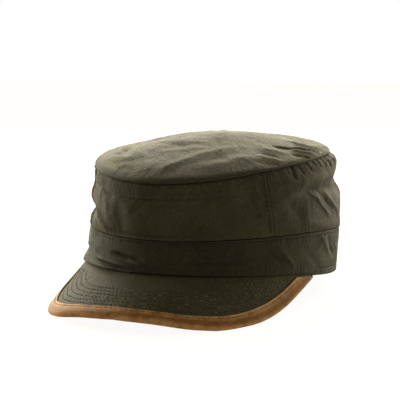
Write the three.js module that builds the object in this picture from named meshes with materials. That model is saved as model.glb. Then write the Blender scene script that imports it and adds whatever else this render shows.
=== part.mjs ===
// Patrol cap of dark waxed cotton with a leather-bound peak, standing on a flat surface.
// Millimetres, +Z up. The peak points to -Y and the wearer's left is +X. The cap is first laid out with the
// lower edge of its band level (the cap's own frame), then tipped back until it stands on the back hem and on
// the two sides of the peak.
// Angles run round the cap from the middle of the front, 90 on the wearer's left and 180 at the back.
import * as THREE from 'three';

const degree = Math.PI / 180;
const smallTurn = 0.5 * degree;    // step for slopes along the peak

// Outline of the cap, seen from above, on the outside of the cloth
const baseLength = 220.5;      // front to back at the lower edge of the band
const baseWidth = 168;         // side to side at the lower edge of the band
const bandTaper = 1;           // how much narrower and shorter the band is at its upper edge
const cuffBack = 4;            // how far the upper edge of the band sits behind the lower one
const topLength = 211;         // front to back at the top seam
const topWidth = 153.5;        // side to side at the top seam
const topForward = 7.5;        // how far the top seam sits in front of the lower edge

// Heights above the lower edge, at the front, the side and the back
const frontDip = 3.2;          // how far the lower edge sags at the peak
const sideLift = 3;            // how far the lower edge rises between the peak and the back
const cuffHeights = { front: 18.5, side: 30.7, back: 31 };
const seamHeights = { front: 54.3, side: 79.3, back: 90 };
const rearRise = 9;            // how much more the top seam rises to the middle of the back
const topDome = 21;            // rise of the top panel's middle above its seam
const rimFade = 0.75;          // share of the way to its seam where the top panel's dents begin to fade

// Cloth and gaps
const crownWall = 1.8;
const topWall = 1.8;
const bandWall = 2;
const seamGap = 0.3;           // between pieces that are sewn to each other
const crownTuck = 6;           // how far the crown reaches down inside the band
const crownFullness = 2.2;     // how far the crown's side stands out past a straight wall
const foldDepth = 3;           // depth of a full fold or dent
const pleatDepth = 1.1;        // depth of the gathers under the top seam
const pleatDrop = 15;          // how far the gathers run down from the top seam
const pleatFade = 0.04;        // share of the back panel over which they fade in beside the side seams
const foldFade = 0.12;         // share of a wall's height over which its folds fade at a seam
const sideSeamAngle = 52.5;    // where the front panel ends
const lapWidth = 9;            // doubled cloth along the front panel's edge at the side seam
const lapRise = 0.8;           // how far the doubled cloth stands out
const lapStep = 0.3;           // share of the doubled cloth's width over which it rises

// Lower hem that shows behind the peak
const hemHeight = 4.5;
const hemStart = 80;           // angle where the hem begins to show, behind the peak's end

// Peak
const peakWall = 2.4;
const peakReach = 47.5;        // along the cloth, from the band to the edge, in the middle of the front
const peakEnd = 76;            // angle where the peak's edge meets the band
const peakFan = 0.16;          // how much the peak spreads, as a share of the angle round the band

// Leather edge of the peak
const leatherWall = 1;
const leatherWidth = 6.5;      // over the cloth, above and below
const leatherGap = 0.3;
const leatherStop = 1.5;       // how far it stops short of the band, in thicknesses of leather and gap

const restFlat = 0.9;          // how far the cloth is pressed flat where it stands

// Where the lower edge lifts off the surface, in degrees
const LIFT = { middle: 128, spread: 28 };

// Height of each row of the crown's side as a share of the wall above the band, and how full it is there
const CROWN_ROWS = [
  { rise: 0.07, front: 0.3, side: 0.2, back: 0.3 },
  { rise: 0.20, front: 0.8, side: 0.5, back: 0.8 },
  { rise: 0.34, front: 0.9, side: 0.7, back: 1.1 },
  { rise: 0.50, front: 0.9, side: 0.7, back: 1.2 },
  { rise: 0.66, front: 0.7, side: 0.6, back: 1.1 },
  { rise: 0.81, front: 0.5, side: 0.7, back: 1.2 },
  { rise: 0.93, front: 0.3, side: 0.5, back: 0.9 },
];

// Folds of the crown's side. angle and rise place the middle, spread is in degrees, tall in shares of the
// wall above the band, lean is how many degrees the fold moves round over the whole height, and depth is a
// share of foldDepth, positive where the cloth stands out.
const CROWN_FOLDS = [
  { angle: -72, rise: 0.55, spread: 34, tall: 0.60, lean: 0, depth: -0.8 },
  { angle: -66, rise: 0.32, spread: 16, tall: 0.10, lean: -40, depth: -0.8 },
  { angle: -50, rise: 0.58, spread: 16, tall: 0.16, lean: -30, depth: 0.35 },
  { angle: 122, rise: 0.84, spread: 26, tall: 0.10, lean: 10, depth: 0.45 },
  { angle: 122, rise: 0.68, spread: 30, tall: 0.08, lean: 60, depth: -0.9 },
  { angle: 118, rise: 0.40, spread: 28, tall: 0.16, lean: 0, depth: 0.5 },
  { angle: 92, rise: 0.45, spread: 9, tall: 0.18, lean: 30, depth: -0.6 },
  { angle: 160, rise: 0.50, spread: 14, tall: 0.22, lean: -50, depth: -0.7 },
  { angle: -150, rise: 0.55, spread: 14, tall: 0.20, lean: 60, depth: -0.7 },
  { angle: -112, rise: 0.40, spread: 14, tall: 0.20, lean: -40, depth: -0.6 },
  { angle: -120, rise: 0.80, spread: 26, tall: 0.10, lean: 0, depth: 0.6 },
];

// Folds of the band, with the same columns; rise is a share of the band's height
const BAND_FOLDS = [
  { angle: -70, rise: 0.05, spread: 14, tall: 0.20, lean: 0, depth: 0.9 },
  { angle: -58, rise: 0.38, spread: 12, tall: 0.16, lean: -20, depth: -0.5 },
  { angle: 95, rise: 0.55, spread: 10, tall: 0.30, lean: 20, depth: -0.4 },
  { angle: 150, rise: 0.50, spread: 16, tall: 0.30, lean: 0, depth: -0.4 },
];

// Dents of the top panel. across and ahead place the middle as shares of the half width and half length,
// wide and long are its half sizes in the same shares, turn is in degrees and depth a share of foldDepth.
const TOP_DENTS = [
  { across: -0.45, ahead: 0.20, wide: 0.22, long: 0.50, turn: 55, depth: -0.6 },
  { across: 0.05, ahead: 0.25, wide: 0.20, long: 0.70, turn: 60, depth: 0.7 },
  { across: -0.72, ahead: -0.30, wide: 0.22, long: 0.34, turn: 20, depth: -0.9 },
  { across: 0.55, ahead: -0.50, wide: 0.20, long: 0.35, turn: -40, depth: -1.3 },
  { across: 0.00, ahead: -0.45, wide: 0.55, long: 0.30, turn: 0, depth: -0.4 },
];

// Reach of the peak as a share of peakReach, and its droop in degrees, by share of the angle to its end
const PEAK_SECTIONS = [
  { share: 0.00, reach: 1.00, droop: 27.5 },
  { share: 0.21, reach: 1.01, droop: 29 },
  { share: 0.43, reach: 1.03, droop: 32.5 },
  { share: 0.59, reach: 0.97, droop: 35.5 },
  { share: 0.77, reach: 0.68, droop: 40 },
  { share: 0.91, reach: 0.28, droop: 44 },
  { share: 1.00, reach: 0.06, droop: 46 },
];

// How finely each surface is divided
const frontColumns = 26;
const pleatCount = 34;
const pleatColumns = 3;
const bandFrontColumns = 38;
const bandRearColumns = 44;
const topColumns = 72;
const TOP_RINGS = [0, 0.22, 0.42, 0.6, 0.77, 0.92, 1];
const BAND_ROWS = [0, 0.2, 0.45, 0.75, 1];
const peakColumns = 34;
const PEAK_ROWS = [0, 0.18, 0.36, 0.54, 0.7, 0.85, 1];
const hemColumns = 56;
const edgeTurn = [90, 30, -30, -90];   // degrees round the section of the leather's folded edge
const insetSteps = 6;
const tiltSteps = 40;
const steepestTilt = 30 * degree;

// Height round the cap that passes through a front, a side and a back value
function heightRound(heights, angle) {
  const ahead = Math.cos(angle);
  const across = Math.sin(angle);
  const middle = (heights.front + heights.back) / 2;
  return heights.side * across * across + middle * ahead * ahead + (heights.front - heights.back) / 2 * ahead;
}

function seamHeight(angle) {
  return heightRound(seamHeights, angle) + rearRise * Math.max(0, -Math.cos(angle)) ** 3;
}

// The three outlines that the cloth runs between
const baseRing = { length: baseLength, width: baseWidth, back: 0 };
const cuffRing = { length: baseLength - bandTaper, width: baseWidth - bandTaper, back: cuffBack };
const topRing = { length: topLength, width: topWidth, back: -topForward };

function ringPoint(ring, angle, height) {
  return new THREE.Vector3(
    ring.width / 2 * Math.sin(angle),
    ring.back - ring.length / 2 * Math.cos(angle),
    height,
  );
}

function outward(ring, angle) {
  return new THREE.Vector3(ring.length * Math.sin(angle), -ring.width * Math.cos(angle), 0).normalize();
}

// Degrees from the middle of the front, the same on both sides
function fromFront(angle) {
  return Math.abs(THREE.MathUtils.euclideanModulo(angle / degree + 180, 360) - 180);
}

function baseHeight(angle) {
  const ahead = Math.max(0, Math.cos(angle));
  const lift = Math.exp(-(((fromFront(angle) - LIFT.middle) / LIFT.spread) ** 2));
  return sideLift * lift - frontDip * ahead * ahead;
}

function smooth(from, to, value) {
  return THREE.MathUtils.smoothstep(value, from, to);
}

// Sum of soft ridges and hollows at one place of a wall
function foldSum(folds, angle, rise) {
  let sum = 0;
  for (const fold of folds) {
    const middle = fold.angle + fold.lean * (rise - fold.rise);
    const round = THREE.MathUtils.euclideanModulo(angle / degree - middle + 180, 360) - 180;
    const up = rise - fold.rise;
    sum += fold.depth * Math.exp(-((round / fold.spread) ** 2) - (up / fold.tall) ** 2);
  }
  return foldDepth * sum;
}

// Top panel: its upper face over a place given as shares of the half width and half length
function topHeight(across, ahead) {
  const spread = Math.min(1, Math.hypot(across, ahead));
  const middle = (seamHeights.front + seamHeights.back) / 2;
  const slope = (seamHeights.front - seamHeights.back) / 2;
  const arch = (seamHeights.side - middle) * across * across + rearRise * Math.max(0, -ahead) ** 3;
  let dents = 0;
  for (const dent of TOP_DENTS) {
    const turn = dent.turn * degree;
    const x = across - dent.across;
    const y = ahead - dent.ahead;
    const wide = (x * Math.cos(turn) + y * Math.sin(turn)) / dent.wide;
    const long = (y * Math.cos(turn) - x * Math.sin(turn)) / dent.long;
    dents += dent.depth * Math.exp(-wide * wide - long * long);
  }
  const inside = 1 - spread * spread;
  return middle + slope * ahead + arch + topDome * inside + foldDepth * dents * smooth(1, rimFade, spread);
}

function topPoint(across, ahead, rise) {
  return new THREE.Vector3(
    topWidth / 2 * across,
    -topForward - topLength / 2 * ahead,
    topHeight(across, ahead) + seamGap + topWall + rise,
  );
}

// A place on the top panel's under side, right over a point of the crown's wall
function underTop(point) {
  const across = point.x / (topWidth / 2);
  const ahead = (-topForward - point.y) / (topLength / 2);
  return topHeight(across, ahead);
}

// Gathers under the top seam of the back panel, from one end of the panel (0) to the other (1)
function pleatAt(along, below) {
  const swell = -Math.cos(2 * Math.PI * pleatCount * along);
  const ends = smooth(0, pleatFade, along) * smooth(0, pleatFade, 1 - along);
  return pleatDepth * swell * ends * Math.exp(-below / pleatDrop);
}

// Outer face of the crown's side at a row, with the extra that a panel's own gathers or lap add
function crownPoint(angle, row, extra) {
  const lower = ringPoint(cuffRing, angle, heightRound(cuffHeights, angle));
  const upper = ringPoint(topRing, angle, seamHeight(angle));
  const out = outward(cuffRing, angle);
  if (row.rise <= 0) {
    const tuck = row.rise < 0 ? crownTuck / (lower.z - baseHeight(angle)) : 0;
    const inside = bandPoint(angle, 1 - tuck).addScaledVector(out, -bandWall - seamGap);
    inside.z += row.rise < 0 ? 0 : seamGap;
    return inside;
  }
  if (row.rise === 1) {
    return upper.addScaledVector(out, -seamGap);
  }
  const full = crownFullness * heightRound(row, angle);
  const fade = smooth(0, foldFade, row.rise) * smooth(0, foldFade, 1 - row.rise);
  const fold = foldSum(CROWN_FOLDS, angle, row.rise) * fade;
  return lower.lerp(upper, row.rise).addScaledVector(out, full + fold + extra);
}

const crownRows = [{ rise: -1 }, { rise: 0 }, ...CROWN_ROWS, { rise: 1 }];

function crownPanel(angles, extraAt) {
  const outside = [];
  const inside = [];
  for (const row of crownRows) {
    const outer = angles.map((angle) => crownPoint(angle, row, extraAt(angle, row)));
    const inner = outer.map((point, i) => point.clone().addScaledVector(outward(cuffRing, angles[i]), -crownWall));
    if (row.rise === 1) {
      for (const point of [...outer, ...inner]) {
        point.z = underTop(point);
      }
    }
    outside.push(outer);
    inside.push(inner);
  }
  return { outside, inside, wraps: false };
}

function anglesBetween(from, to, count) {
  return Array.from({ length: count + 1 }, (unused, i) => from + (to - from) * i / count);
}

// The angle that a length round the cap takes up at a place
function angleAlong(at, length) {
  return length / Math.hypot(cuffRing.width / 2 * Math.cos(at), cuffRing.length / 2 * Math.sin(at));
}

function crownFront() {
  const end = sideSeamAngle * degree - angleAlong(sideSeamAngle * degree, seamGap / 2);
  const lapEdge = end - angleAlong(sideSeamAngle * degree, lapWidth);
  const lapStart = lapEdge - angleAlong(sideSeamAngle * degree, lapStep * lapWidth);
  return crownPanel(anglesBetween(-end, end, frontColumns), (angle) => (
    lapRise * smooth(lapStart, lapEdge, Math.abs(angle))));
}

function crownBack() {
  const start = sideSeamAngle * degree + angleAlong(sideSeamAngle * degree, seamGap / 2);
  const end = 2 * Math.PI - start;
  const wallHeight = seamHeights.side - cuffHeights.side;
  const angles = anglesBetween(start, end, pleatColumns * pleatCount);
  return crownPanel(angles, (angle, row) => {
    const along = (angle - start) / (end - start);
    return pleatAt(along, (1 - Math.max(0, row.rise)) * wallHeight);
  });
}

function crownTop() {
  const outside = [];
  const inside = [];
  for (const share of TOP_RINGS) {
    const outer = [];
    const inner = [];
    for (let i = 0; i < topColumns; i += 1) {
      const angle = 2 * Math.PI * i / topColumns;
      const across = share * Math.sin(angle);
      const ahead = share * Math.cos(angle);
      outer.push(topPoint(across, ahead, 0));
      inner.push(topPoint(across, ahead, -topWall));
    }
    outside.push(outer);
    inside.push(inner);
  }
  return { outside, inside, wraps: true };
}

// Angle round the cap of the step in the band's lower edge, a number of gaps in front of the hem's end
function stepAngle(gaps) {
  return hemStart * degree - angleAlong(hemStart * degree, gaps * seamGap);
}

function bandPoint(angle, rise) {
  const showsHem = fromFront(angle) * degree > stepAngle(1.5);
  const bottom = baseHeight(angle) + (showsHem ? hemHeight + seamGap : 0);
  const lower = ringPoint(baseRing, angle, bottom);
  const upper = ringPoint(cuffRing, angle, heightRound(cuffHeights, angle));
  const fold = foldSum(BAND_FOLDS, angle, rise) * smooth(0, foldFade, 1 - rise);
  return lower.lerp(upper, rise).addScaledVector(outward(baseRing, angle), fold);
}

function band() {
  const angles = [
    ...anglesBetween(-stepAngle(2), stepAngle(2), bandFrontColumns),
    ...anglesBetween(stepAngle(1), 2 * Math.PI - stepAngle(1), bandRearColumns),
  ];
  const outside = BAND_ROWS.map((rise) => angles.map((angle) => bandPoint(angle, rise)));
  const inside = outside.map((row) => row.map((point, i) => (
    point.clone().addScaledVector(outward(baseRing, angles[i]), -bandWall))));
  return { outside, inside, wraps: true };
}

function rearHem() {
  const start = hemStart * degree;
  const angles = anglesBetween(start, 2 * Math.PI - start, hemColumns);
  const heights = [0, hemHeight];
  const outside = heights.map((height) => (
    angles.map((angle) => ringPoint(baseRing, angle, baseHeight(angle) + height))));
  const inside = outside.map((row) => row.map((point, i) => (
    point.clone().addScaledVector(outward(baseRing, angles[i]), -bandWall))));
  return { outside, inside, wraps: false };
}

// Value of a table column at a share, on a smooth curve through the rows
function tableValue(rows, column, share) {
  let i = 0;
  while (i < rows.length - 2 && rows[i + 1].share < share) {
    i += 1;
  }
  const before = rows[Math.max(0, i - 1)];
  const from = rows[i];
  const to = rows[i + 1];
  const after = rows[Math.min(rows.length - 1, i + 2)];
  const step = to.share - from.share;
  const t = (share - from.share) / step;
  const slopeFrom = i === 0 ? 0 : (to[column] - before[column]) / (to.share - before.share) * step;
  const slopeTo = (after[column] - from[column]) / (after.share - from.share) * step;
  const t2 = t * t;
  const t3 = t2 * t;
  return (2 * t3 - 3 * t2 + 1) * from[column] + (t3 - 2 * t2 + t) * slopeFrom
    + (3 * t2 - 2 * t3) * to[column] + (t3 - t2) * slopeTo;
}

function peakShare(angle) {
  return Math.min(1, Math.abs(angle) / (peakEnd * degree));
}

// Direction in which the peak runs out from the band at an angle round it
function peakLine(angle) {
  const droop = tableValue(PEAK_SECTIONS, 'droop', peakShare(angle)) * degree;
  const fan = peakFan * angle;
  return new THREE.Vector3(
    Math.cos(droop) * Math.sin(fan),
    -Math.cos(droop) * Math.cos(fan),
    -Math.sin(droop),
  );
}

// Where the middle of the peak's cloth meets the band
function peakStart(angle) {
  const point = ringPoint(baseRing, angle, baseHeight(angle) - seamGap);
  return point.addScaledVector(outward(baseRing, angle), -bandWall / 2);
}

// Upward normal of the peak at an angle and a reach along the cloth
function peakNormal(angle, reach) {
  const ahead = peakStart(angle + smallTurn).addScaledVector(peakLine(angle + smallTurn), reach);
  const behind = peakStart(angle - smallTurn).addScaledVector(peakLine(angle - smallTurn), reach);
  return ahead.sub(behind).cross(peakLine(angle)).normalize().negate();
}

// A place of the peak, above or below the middle of its cloth
function peakPoint(angle, reach, above) {
  const normal = peakNormal(angle, reach);
  const edge = peakNormal(angle, 0).z * peakWall / 2;
  const point = peakStart(angle).addScaledVector(peakLine(angle), reach);
  point.z -= edge;
  return point.addScaledVector(normal, above);
}

function peakEdge(angle) {
  return peakReach * tableValue(PEAK_SECTIONS, 'reach', peakShare(angle));
}

function peak() {
  const end = peakEnd * degree;
  const angles = anglesBetween(-end, end, peakColumns);
  const side = (above) => PEAK_ROWS.map((share) => (
    angles.map((angle) => peakPoint(angle, share * peakEdge(angle), above))));
  return { outside: side(peakWall / 2), inside: side(-peakWall / 2), wraps: false };
}

// The place on the peak's middle surface that lies a distance in from its edge at an angle, found in a few
// steps of Newton's method
function insetPlace(angle, inset) {
  const edge = (at) => peakPoint(at, peakEdge(at), 0);
  const along = edge(angle + smallTurn).sub(edge(angle - smallTurn)).normalize();
  const inward = peakNormal(angle, peakEdge(angle)).cross(along).normalize();
  const target = edge(angle).addScaledVector(inward, inset);
  const place = { angle, reach: peakEdge(angle) };
  for (let i = 0; i < insetSteps; i += 1) {
    const here = peakPoint(place.angle, place.reach, 0);
    const round = peakPoint(place.angle + smallTurn, place.reach, 0).sub(here);
    const out = peakPoint(place.angle, place.reach + 1, 0).sub(here);
    const miss = target.clone().sub(here);
    const rr = round.dot(round);
    const ro = round.dot(out);
    const oo = out.dot(out);
    const det = rr * oo - ro * ro;
    place.angle += smallTurn * (miss.dot(round) * oo - miss.dot(out) * ro) / det;
    place.reach += (miss.dot(out) * rr - miss.dot(round) * ro) / det;
  }
  return place;
}

// A place of the leather: over or under the cloth where it lies flat, or round the peak's edge
function leatherPoint(angle, inset, turn, radius) {
  if (inset > 0) {
    const place = insetPlace(angle, inset);
    const stop = leatherStop * (leatherGap + leatherWall);
    return peakPoint(place.angle, Math.max(stop, place.reach), Math.sign(turn) * radius);
  }
  const place = insetPlace(angle, -radius * Math.cos(turn * degree));
  return peakPoint(place.angle, place.reach, radius * Math.sin(turn * degree));
}

function peakBinding() {
  const end = peakEnd * degree;
  const angles = anglesBetween(-end, end, peakColumns);
  const path = [
    { inset: leatherWidth, turn: 90 },
    { inset: leatherWidth / 2, turn: 90 },
    ...edgeTurn.map((turn) => ({ inset: 0, turn })),
    { inset: leatherWidth / 2, turn: -90 },
    { inset: leatherWidth, turn: -90 },
  ];
  const layer = (radius) => path.map(({ inset, turn }) => (
    angles.map((angle) => leatherPoint(angle, inset, turn, radius))));
  const inner = peakWall / 2 + leatherGap;
  return { outside: layer(inner + leatherWall), inside: layer(inner), wraps: false };
}

// Height of a point of the cap's own frame once the cap is tipped back
function tippedHeight(point, tilt) {
  return point.z * Math.cos(tilt) - point.y * Math.sin(tilt);
}

function lowest(sheet, tilt) {
  const points = [...sheet.outside, ...sheet.inside].flat();
  return Math.min(...points.map((point) => tippedHeight(point, tilt)));
}

// The tilt at which the peak's sides and the back hem stand on one surface
function restTilt(front, rear) {
  let low = 0;
  let high = steepestTilt;
  for (let i = 0; i < tiltSteps; i += 1) {
    const tilt = (low + high) / 2;
    if (lowest(front, tilt) < lowest(rear, tilt)) {
      low = tilt;
    } else {
      high = tilt;
    }
  }
  return low;
}

// Closed body between two grids of points, rows by columns, that bound a sheet of cloth or leather
function sheetGeometry(sheet, place) {
  const positions = [];
  const known = new Map();
  const corner = (point) => {
    const placed = place(point);
    const key = placed.toArray().map((value) => value.toFixed(4)).join(' ');
    if (!known.has(key)) {
      known.set(key, positions.length / 3);
      positions.push(placed.x, placed.y, placed.z);
    }
    return known.get(key);
  };
  const outside = sheet.outside.map((row) => row.map(corner));
  const inside = sheet.inside.map((row) => row.map(corner));
  const rows = outside.length;
  const columns = outside[0].length;
  const lastColumn = sheet.wraps ? columns : columns - 1;
  const faces = [];
  const quad = (a, b, c, d) => {
    for (const face of [[a, b, c], [a, c, d]]) {
      if (new Set(face).size === 3) {
        faces.push(face);
      }
    }
  };
  for (let r = 0; r < rows - 1; r += 1) {
    for (let c = 0; c < lastColumn; c += 1) {
      const next = (c + 1) % columns;
      quad(outside[r][c], outside[r][next], outside[r + 1][next], outside[r + 1][c]);
      quad(inside[r][next], inside[r][c], inside[r + 1][c], inside[r + 1][next]);
    }
  }
  for (let c = 0; c < lastColumn; c += 1) {
    const next = (c + 1) % columns;
    const top = rows - 1;
    quad(inside[0][c], inside[0][next], outside[0][next], outside[0][c]);
    quad(outside[top][c], outside[top][next], inside[top][next], inside[top][c]);
  }
  if (!sheet.wraps) {
    for (let r = 0; r < rows - 1; r += 1) {
      quad(inside[r][0], outside[r][0], outside[r + 1][0], inside[r + 1][0]);
      quad(outside[r][columns - 1], inside[r][columns - 1], inside[r + 1][columns - 1], outside[r + 1][columns - 1]);
    }
  }
  const geometry = new THREE.BufferGeometry();
  geometry.setAttribute('position', new THREE.Float32BufferAttribute(positions, 3));
  geometry.setIndex(faceOut(positions, faces).flat());
  geometry.computeVertexNormals();
  return geometry;
}

// The same faces, all turned so that they point out of the body
function faceOut(positions, faces) {
  const corner = (i) => new THREE.Vector3().fromArray(positions, 3 * i);
  let volume = 0;
  for (const [a, b, c] of faces) {
    volume += corner(a).dot(corner(b).cross(corner(c))) / 6;
  }
  return volume > 0 ? faces : faces.map(([a, b, c]) => [a, c, b]);
}

// Materials
const waxedCotton = { color: 0x45412f, roughness: 0.72, metalness: 0 };
const topCotton = { color: 0x5c5643, roughness: 0.66, metalness: 0 };
const leather = { color: 0x7a5230, roughness: 0.5, metalness: 0 };

const pieces = [
  { name: 'crown_top', sheet: crownTop(), finish: topCotton },
  { name: 'crown_front', sheet: crownFront(), finish: waxedCotton },
  { name: 'crown_back', sheet: crownBack(), finish: waxedCotton },
  { name: 'band', sheet: band(), finish: waxedCotton },
  { name: 'rear_hem', sheet: rearHem(), finish: waxedCotton },
  { name: 'peak', sheet: peak(), finish: waxedCotton },
  { name: 'peak_binding', sheet: peakBinding(), finish: leather },
];

function pieceNamed(name) {
  return pieces.find((piece) => piece.name === name).sheet;
}

const tilt = restTilt(pieceNamed('peak_binding'), pieceNamed('rear_hem'));
const floorHeight = lowest(pieceNamed('rear_hem'), tilt) + restFlat;

// Tips the cap back and presses it flat where it stands
function stand(point) {
  return new THREE.Vector3(
    point.x,
    point.y * Math.cos(tilt) + point.z * Math.sin(tilt),
    Math.max(0, tippedHeight(point, tilt) - floorHeight),
  );
}

const cap = new THREE.Group();
for (const piece of pieces) {
  const mesh = new THREE.Mesh(sheetGeometry(piece.sheet, stand), new THREE.MeshStandardMaterial(piece.finish));
  mesh.name = piece.name;
  cap.add(mesh);
}

// The origin is under the middle of the whole cap
const middle = new THREE.Box3().setFromObject(cap).getCenter(new THREE.Vector3());
cap.position.set(-middle.x, -middle.y, 0);
cap.updateMatrixWorld(true);

export default cap;
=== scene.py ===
import math

import bmesh
import bpy
import numpy as np
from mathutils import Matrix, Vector


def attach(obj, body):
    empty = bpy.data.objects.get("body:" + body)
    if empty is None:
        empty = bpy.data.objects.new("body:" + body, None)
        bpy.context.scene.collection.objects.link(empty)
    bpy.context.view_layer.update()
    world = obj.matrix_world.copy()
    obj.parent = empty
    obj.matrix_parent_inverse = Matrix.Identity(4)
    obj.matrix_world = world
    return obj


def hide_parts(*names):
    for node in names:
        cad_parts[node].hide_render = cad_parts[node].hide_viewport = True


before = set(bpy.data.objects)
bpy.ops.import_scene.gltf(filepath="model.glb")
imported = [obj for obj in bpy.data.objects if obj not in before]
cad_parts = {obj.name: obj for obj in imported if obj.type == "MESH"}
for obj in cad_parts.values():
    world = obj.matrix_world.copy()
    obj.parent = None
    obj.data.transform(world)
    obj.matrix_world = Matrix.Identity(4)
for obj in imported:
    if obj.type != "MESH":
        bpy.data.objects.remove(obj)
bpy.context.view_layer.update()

DEGREE = math.pi / 180
MM = 0.001

# How the cap stands on the floor
TILT = 8.1 * DEGREE
SIT = 14.54  # height of the band's lower level above the floor
SHIFT = (0.24, 19.46)  # from the middle of the band's lower edge to the frame's origin

# Outlines from above and heights, as on the solids
BASE = {"length": 220.5, "width": 168.0, "back": 0.0}
CUFF = {"length": 219.5, "width": 167.0, "back": 4.0}
TOP = {"length": 211.0, "width": 153.5, "back": -7.5}
FRONT_DIP = 3.2
SIDE_LIFT = 3.0
LIFT_MIDDLE = 128.0  # degrees from the front
LIFT_SPREAD = 28.0
CUFF_HEIGHTS = {"front": 18.5, "side": 30.7, "back": 31.0}
SEAM_HEIGHTS = {"front": 54.3, "side": 79.3, "back": 90.0}
REAR_RISE = 9.0
TOP_DOME = 21.0
TOP_RADIUS = 90.0  # mean length from the top panel's middle to its edge
RIM_FADE = 0.75
FRONT_SWELL = 1.7  # how far the top panel swells just behind its front edge
TOP_LIP = 0.2  # how far the top panel's edge stands out over the side's

# Cloth
CLOTH = 1.8
BAND_CLOTH = 2.0
SEAM_GAP = 0.3
SEAM_CLOSED = 0.4  # how far the cloth reaches across the gap between the solids
PEAK_SHADOW = 1.2  # how far the band's edge stays above the solid's over the peak
CROWN_TUCK = 6.0
CROWN_FULLNESS = 2.2
FOLD_DEPTH = 3.0
FOLD_FADE = 0.12
RIM_ROLL = 0.06  # share of the side's height over which its folds fade under the top seam
PLEAT_DEPTH = 1.1
PLEAT_DROP = 15.0
PLEAT_FADE = 0.04
PLEAT_COUNT = 34
SIDE_SEAM = 52.5  # degrees from the front
SEAM = SIDE_SEAM * DEGREE
LAP_WIDTH = 9.0
LAP_RISE = 0.8
LAP_UNDER = 1.8  # degrees by which the back panel runs in under the front one
HEM_HEIGHT = 4.5
HEM_START = 80.0  # degrees from the front
HEM_TUCK = 1.8  # degrees by which the hem starts behind the band's edge
SLIT_SLOPE = 3.0  # degrees over which the slit above it rises

# Peak and its leather edge
PEAK_WALL = 2.4
PEAK_REACH = 47.5
PEAK_END = 76.0 * DEGREE
PEAK_FAN = 0.16
PEAK_TUCK = 4.2  # how far the peak's cloth is sewn in under the band
PEAK_TAIL = 1.3 * DEGREE  # angle over which each end of the peak runs in under the band
PEAK_LIMIT = PEAK_END + PEAK_TAIL
PEAK_TURN = 110.0  # length along the peak's edge for each radian round the cap
TAIL_RISE = 3.5  # how far its ends run up under the band
TAIL_PULL = 3.2  # how far the peak's edge is drawn in towards its ends
LEATHER = 1.0
LEATHER_WIDTH = 6.5
LEATHER_GAP = 0.3
LEATHER_STOP = 1.0  # from the band to the leather's ends
LEATHER_ROW = 1.8  # from the leather's inner edge to its row of stitches

# Fullness of the crown's side by share of its height above the band
CROWN_ROWS = {
    "rise": [0, 0.07, 0.2, 0.34, 0.5, 0.66, 0.81, 0.93, 1],
    "front": [0, 0.5, 0.8, 0.9, 0.9, 0.7, 0.5, 0.3, 0],
    "side": [0, 0.4, 0.6, 0.7, 0.7, 0.6, 0.7, 0.5, 0],
    "back": [0, 0.5, 0.9, 1.1, 1.2, 1.1, 1.2, 0.9, 0],
}

# Soft folds: the middle's angle in degrees and its share of the wall's height, the spread in degrees, the
# height in shares of the wall, the lean in degrees over the wall, and the depth in shares of FOLD_DEPTH,
# positive where the cloth stands out
CROWN_FOLDS = [
    (-72, 0.50, 34, 0.60, 0, -1.3),
    (-66, 0.32, 16, 0.10, -40, -0.8),
    (-68, 0.17, 20, 0.14, 0, -0.75),
    (-50, 0.58, 16, 0.16, -30, 0.35),
    (-76, 0.80, 30, 0.24, 0, -0.5),
    (118, 0.90, 26, 0.12, 10, 0.8),
    (122, 0.68, 30, 0.08, 60, -0.9),
    (118, 0.40, 28, 0.16, 0, 0.5),
    (92, 0.45, 9, 0.18, 30, -0.6),
    (160, 0.50, 14, 0.22, -50, -0.7),
    (-150, 0.55, 14, 0.20, 60, -0.7),
    (-112, 0.40, 14, 0.20, -40, -0.6),
    (-120, 0.80, 26, 0.10, 0, 0.6),
]
BAND_FOLDS = [
    (-70, 0.05, 14, 0.20, 0, 0.9),
    (-58, 0.38, 12, 0.16, -20, -0.5),
    (95, 0.55, 10, 0.30, 20, -0.4),
    (150, 0.50, 16, 0.30, 0, -0.4),
]

# Narrow creases of the walls: two ends, each in degrees and a share of the wall's height, then width and
# depth in millimetres
CROWN_CREASES = [
    (-41, 0.83, -21, 0.70, 1.7, -1.3),
    (-44, 0.92, -28, 0.84, 2.8, 0.8),
    (-92, 0.42, -38, 0.34, 3.0, -2.4),
    (-60, 0.20, -30, 0.12, 3.6, 1.0),
    (-40, 0.44, -22, 0.02, 2.6, 1.3),
    (-18, 0.64, -14, 0.08, 6.0, -1.1),
    (-27, 0.60, -24, 0.20, 3.2, 0.5),
    (-6, 0.90, 2, 0.40, 4.0, 0.35),
    (14, 0.60, 20, 0.10, 5.0, -0.4),
    (-24, 0.07, 16, 0.06, 2.8, -2.0),
    (40, 0.92, 44, 0.50, 1.8, 0.35),
    (60, 0.76, 110, 0.72, 3.2, 2.2),
    (68, 0.60, 108, 0.55, 2.6, -2.2),
    (54, 0.50, 76, 0.70, 3.2, 1.0),
    (61, 0.52, 70, 0.22, 5.0, -1.4),
    (76, 0.60, 90, 0.20, 1.7, 1.2),
    (82, 0.62, 95, 0.26, 1.5, -1.0),
    (88, 0.60, 103, 0.16, 1.8, 0.9),
    (66, 0.20, 86, 0.05, 3.0, 0.6),
    (107, 0.72, 116, 0.42, 1.5, 0.9),
    (112, 0.74, 121, 0.44, 1.4, -0.9),
    (130, 0.70, 168, 0.52, 2.8, -1.0),
    (150, 0.30, 190, 0.46, 3.2, 1.0),
    (176, 0.74, 214, 0.60, 2.6, -1.0),
    (210, 0.20, 236, 0.50, 3.2, 1.0),
    (232, 0.66, 268, 0.52, 2.8, -1.1),
    (268, 0.22, 300, 0.40, 3.0, 0.9),
]

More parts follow.
